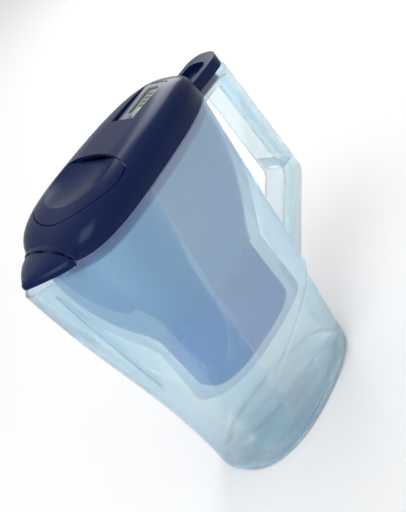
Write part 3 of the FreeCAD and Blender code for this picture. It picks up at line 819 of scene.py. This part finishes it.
# Window: a thin flat pane of clear plastic, cut from sheet and laid behind the bezel's opening. It covers
# the display.
window_plastic, window_shader = new_material("window_plastic")
window_shader.inputs["Base Color"].default_value = (0.95, 0.97, 0.97, 1.0)
window_shader.inputs["Transmission Weight"].default_value = 1.0
window_shader.inputs["Alpha"].default_value = 0.3
add_grain(window_plastic, scale=80.0, bump=0.01, depth=0.0002, rough_low=0.0, rough_high=0.04)
dress("indicator_window", window_plastic)

# Display: a pale grey-green liquid-crystal panel, two sheets of thin glass sealed together. It lies under
# the window.
display_glass, display_shader = new_material("display_glass")
display_shader.inputs["Base Color"].default_value = (0.58, 0.65, 0.57, 1.0)
add_grain(display_glass, scale=2600.0, bump=0.03, depth=0.0001, rough_low=0.25, rough_high=0.3)
dress("lcd_panel", display_glass)

# Display marks: four dark bars that count down, a baseline and a round dot. They are the segments of the
# liquid crystal that are switched on, made as thin films on the display's face.
segment_ink, segment_shader = new_material("segment_ink")
segment_shader.inputs["Base Color"].default_value = (0.03, 0.035, 0.035, 1.0)
add_grain(segment_ink, scale=2600.0, bump=0.04, depth=0.0001, rough_low=0.35, rough_high=0.45)
display_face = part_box("lcd_panel")[1][2] / MM
film = 0.05
bar_pitch = 4.6
bar_width = 3.2
bar_start = view_front + 9.5
bar_low = -3.6
bar_high = 5.0
bar_corner = 0.5
bar_count = 4
baseline_low = bar_low - 1.8
baseline_high = bar_low - 1.0
baseline_corner = 0.2
dot_place = (view_front + 4.6, -2.6)
dot_radius = 2.1


def face_film(name, outline):
    """A thin flat mark standing on the display's face."""
    mark = flat_plate(name, outline, display_face, display_face + film)
    mark.data.materials.append(segment_ink)
    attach(mark, "lid_body")


for k in range(bar_count):
    left = bar_start + bar_pitch * k
    face_film(f"display_bar_{k}", plate_outline(left, bar_low, left + bar_width, bar_high, bar_corner))
baseline_end = bar_start + (bar_count - 1) * bar_pitch + bar_width
baseline = plate_outline(bar_start, baseline_low, baseline_end, baseline_high, baseline_corner)
face_film("display_baseline", baseline)
face_film("display_dot", circle_outline(*dot_place, dot_radius))

# Button: a small key of dark plastic, moulded with a flange that holds it under the bezel and a shallow
# dish for the fingertip. It stands on a rubber dome.
button_plastic, button_shader = new_material("button_plastic")
button_shader.inputs["Base Color"].default_value = (0.09, 0.11, 0.15, 1.0)
add_grain(button_plastic, scale=1600.0, bump=0.05, depth=0.0002, rough_low=0.3, rough_high=0.42)
button_low, button_high = [Vector(corner).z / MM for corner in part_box("start_button")]
button_flange = 0.5
button_flange_height = 0.7
button_crown_insets_and_drops = [(0.0, 0.45), (0.15, 0.15), (0.5, 0.0), (0.9, 0.03), (1.9, 0.2), (2.9, 0.26)]
button_profile = [
    (button_radius + button_flange, button_low),
    (button_radius + button_flange, button_low + button_flange_height),
    (button_radius, button_low + button_flange_height),
]
for inset, drop in button_crown_insets_and_drops:
    button_profile.append((button_radius - inset, button_high - drop))
button_rings = [lifted(circle_outline(button_place, 0.0, radius), z) for radius, z in button_profile]
button = skin("timer_button", button_rings)
button.data.materials.append(button_plastic)
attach(button, "button_body")
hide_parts("start_button")

# Spring: a small torsion spring, wound from bright steel wire. It sits on the refill flap's pin and closes
# the flap.
spring_steel, spring_shader = new_material("spring_steel")
spring_shader.inputs["Base Color"].default_value = (0.56, 0.57, 0.58, 1.0)
spring_shader.inputs["Metallic"].default_value = 1.0
add_grain(spring_steel, scale=2400.0, bump=0.06, depth=0.0001, rough_low=0.22, rough_high=0.34)
dress("flap_spring", spring_steel)

# Coin cell: the timer's battery, a flat can pressed from plated steel. It lies in the timer's housing. Its
# faces are smooth and bright.
cell_steel, cell_shader = new_material("cell_steel")
cell_shader.inputs["Base Color"].default_value = (0.64, 0.64, 0.65, 1.0)
cell_shader.inputs["Metallic"].default_value = 1.0
add_grain(cell_steel, scale=1800.0, bump=0.05, depth=0.0001, rough_low=0.16, rough_high=0.3)
dress("coin_cell", cell_steel)

# Battery contacts: thin leaves stamped from brass sheet. They carry the coin cell's current to the circuit
# board.
contact_brass, brass_shader = new_material("contact_brass")
brass_shader.inputs["Base Color"].default_value = (0.62, 0.46, 0.18, 1.0)
brass_shader.inputs["Metallic"].default_value = 1.0
add_grain(contact_brass, scale=2000.0, bump=0.06, depth=0.0001, rough_low=0.24, rough_high=0.36)
dress("battery_contacts", contact_brass)

# Circuit board: a small plate of green glass-fibre laminate under the display. It is held in the timer's
# housing.
board_laminate, board_shader = new_material("board_laminate")
board_shader.inputs["Base Color"].default_value = (0.02, 0.13, 0.06, 1.0)
add_grain(board_laminate, scale=3000.0, bump=0.08, depth=0.0001, rough_low=0.35, rough_high=0.5)
dress("circuit_board", board_laminate)

# Floor: a plain pale painted board that the jug stands on. It is so wide that its edge stays out of sight.
# It keeps the jug's shadow.
floor_half = 30.0
floor_mesh = bmesh.new()
bmesh.ops.create_grid(floor_mesh, x_segments=1, y_segments=1, size=floor_half)
floor = finished("floor", floor_mesh)
floor_paint, floor_shader = new_material("floor_paint")
floor_shader.inputs["Base Color"].default_value = (0.86, 0.86, 0.86, 1.0)
add_grain(floor_paint, scale=40.0, bump=0.02, depth=0.001, rough_low=0.6, rough_high=0.7)
floor.data.materials.append(floor_paint)

# Sky: soft light from above that fades to a darker horizon, as in a studio with a large diffuser overhead.
# What is seen of it, straight, in gloss or through the clear plastic, is an even pale grey backdrop.
sky_strength = 0.8
sky_full = 0.55
world = bpy.data.worlds.new("studio")
bpy.context.scene.world = world
world.use_nodes = True
sky = world.node_tree.nodes["Background"]
sky_nodes = world.node_tree.nodes
sky_links = world.node_tree.links
direction = sky_nodes.new("ShaderNodeTexCoord")
parts = sky_nodes.new("ShaderNodeSeparateXYZ")
sky_links.new(direction.outputs["Generated"], parts.inputs["Vector"])
ramp = sky_nodes.new("ShaderNodeValToRGB")
ramp.color_ramp.elements[0].position = 0.0
ramp.color_ramp.elements[0].color = (0.2, 0.22, 0.26, 1.0)
ramp.color_ramp.elements[1].position = sky_full
ramp.color_ramp.elements[1].color = (1.0, 1.0, 1.0, 1.0)
sky_links.new(parts.outputs["Z"], ramp.inputs["Fac"])
sky_links.new(ramp.outputs["Color"], sky.inputs["Color"])
sky.inputs["Strength"].default_value = sky_strength
backdrop = sky_nodes.new("ShaderNodeBackground")
backdrop.inputs["Color"].default_value = (0.62, 0.62, 0.625, 1.0)
ray = sky_nodes.new("ShaderNodeLightPath")
seen_share = ray.outputs["Is Camera Ray"]
for kind in ("Is Glossy Ray", "Is Transmission Ray"):
    either = sky_nodes.new("ShaderNodeMath")
    either.operation = "MAXIMUM"
    sky_links.new(seen_share, either.inputs[0])
    sky_links.new(ray.outputs[kind], either.inputs[1])
    seen_share = either.outputs["Value"]
seen = sky_nodes.new("ShaderNodeMixShader")
sky_links.new(seen_share, seen.inputs["Fac"])
sky_links.new(sky.outputs["Background"], seen.inputs[1])
sky_links.new(backdrop.outputs["Background"], seen.inputs[2])
sky_links.new(seen.outputs["Shader"], sky_nodes["World Output"].inputs["Surface"])

# Lamps: two soft boxes, rectangular panels of diffuse light on stands. The key light stands above the
# spout's near side, and the rim light stands behind the handle.
middle = (0.0, 0.0, 0.15)


def soft_box(name, place, aim, size, power):
    """A rectangular area lamp at a place, turned to a point."""
    lamp = bpy.data.lights.new(name, "AREA")
    lamp.shape = "RECTANGLE"
    lamp.size, lamp.size_y = size
    lamp.energy = power
    holder = bpy.data.objects.new(name, lamp)
    holder.location = place
    holder.rotation_euler = (Vector(aim) - Vector(place)).to_track_quat("-Z", "Y").to_euler()
    bpy.context.scene.collection.objects.link(holder)


soft_box("key_box", place=(-0.9, -0.5, 1.5), aim=middle, size=(1.0, 1.0), power=14.0)
soft_box("rim_box", place=(1.1, 0.9, 1.0), aim=middle, size=(0.5, 1.2), power=8.0)

# Camera: a long lens above the spout's near side. It is rolled about its own axis, so that the upright jug
# leans in the picture as a jug does that pours.
azimuth = math.radians(-29.81)
elevation = math.radians(26.95)
lean = math.radians(40.07)
distance = 981.67
target = Vector((24.46, 0.18, 148.24))
focal_px = 1223.94
image_height = 512
level = math.cos(elevation)
back = Vector((math.sin(azimuth) * level, -math.cos(azimuth) * level, math.sin(elevation)))
right = Vector((math.cos(azimuth), math.sin(azimuth), 0.0))
up = back.cross(right)
lens = bpy.data.cameras.new("camera")
lens.sensor_width = 36.0
lens.lens = lens.sensor_width * focal_px / image_height
camera = bpy.data.objects.new("camera", lens)
across = right * math.cos(lean) - up * math.sin(lean)
upward = right * math.sin(lean) + up * math.cos(lean)
turn = Matrix((across, upward, back)).transposed().to_4x4()
camera.matrix_world = Matrix.Translation((target + back * distance) * MM) @ turn
bpy.context.scene.collection.objects.link(camera)
bpy.context.scene.camera = camera
bpy.context.scene.view_settings.view_transform = "Standard"
